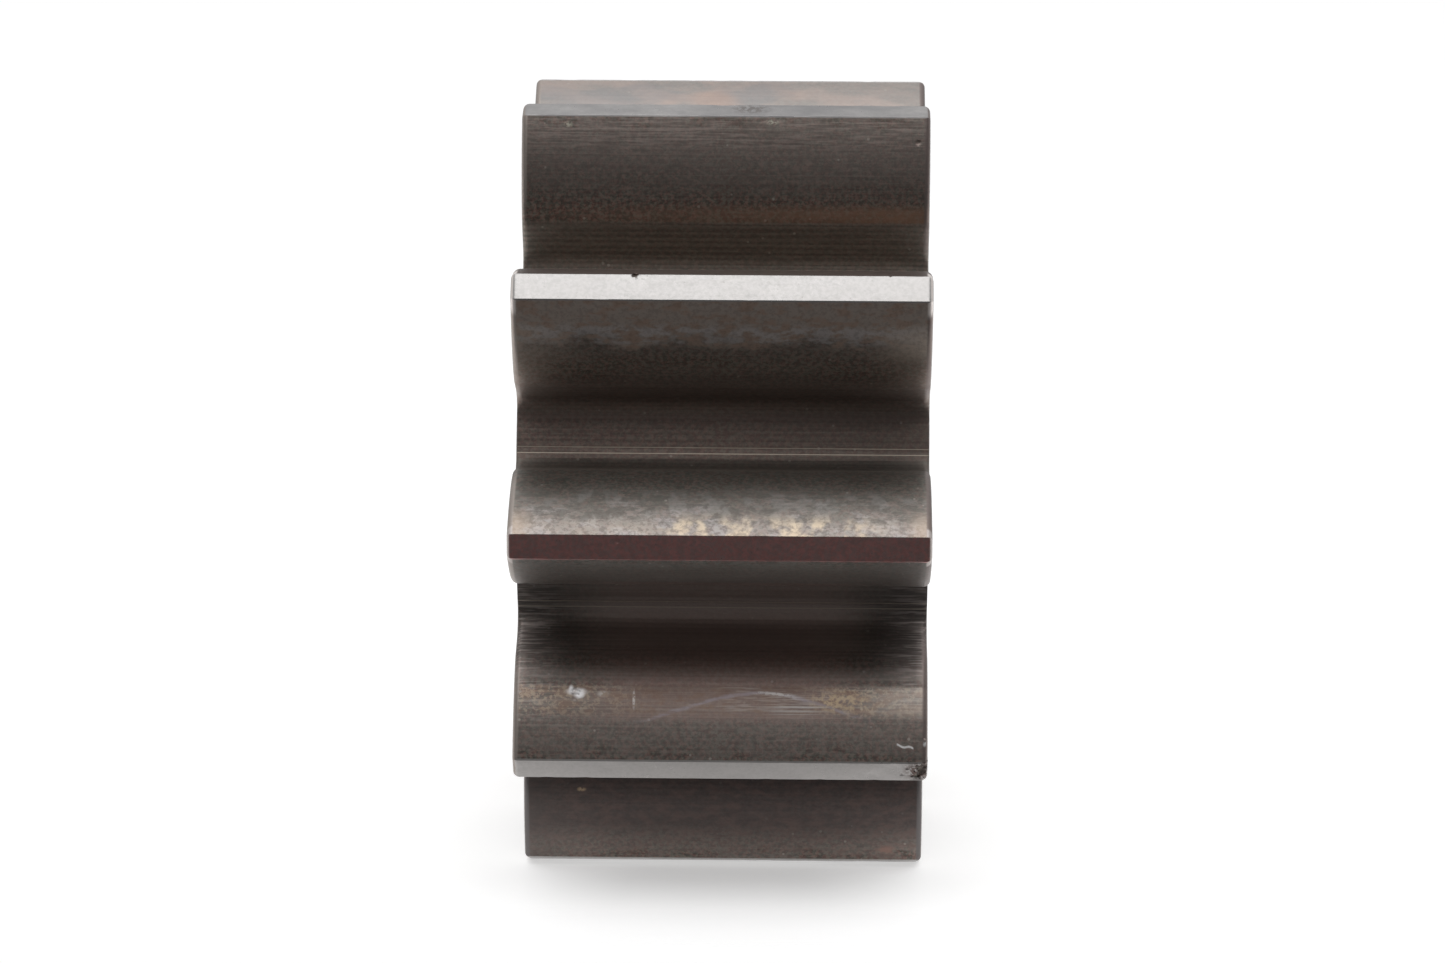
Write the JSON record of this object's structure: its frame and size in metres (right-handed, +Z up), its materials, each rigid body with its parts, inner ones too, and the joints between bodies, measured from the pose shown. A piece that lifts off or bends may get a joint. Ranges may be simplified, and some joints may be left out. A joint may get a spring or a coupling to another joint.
{
  "type": "oil pump idler gear",
  "caption": "Thick spur gear with coarse straight teeth cut right across it and a plain running bore.",
  "frame": {"origin": "centre of the bore, midway between the two end faces", "axes": "+Y along the bore, +Z up as it stands on two tips, and one tooth points along +X"},
  "size_m": [0.0508, 0.0254, 0.0488],
  "materials": {
    "steel": "dark machined steel with oil film, ground tips and worn flanks"
  },
  "bodies": {
    "root": {"idler_gear": "steel"}
  },
  "joints": []
}
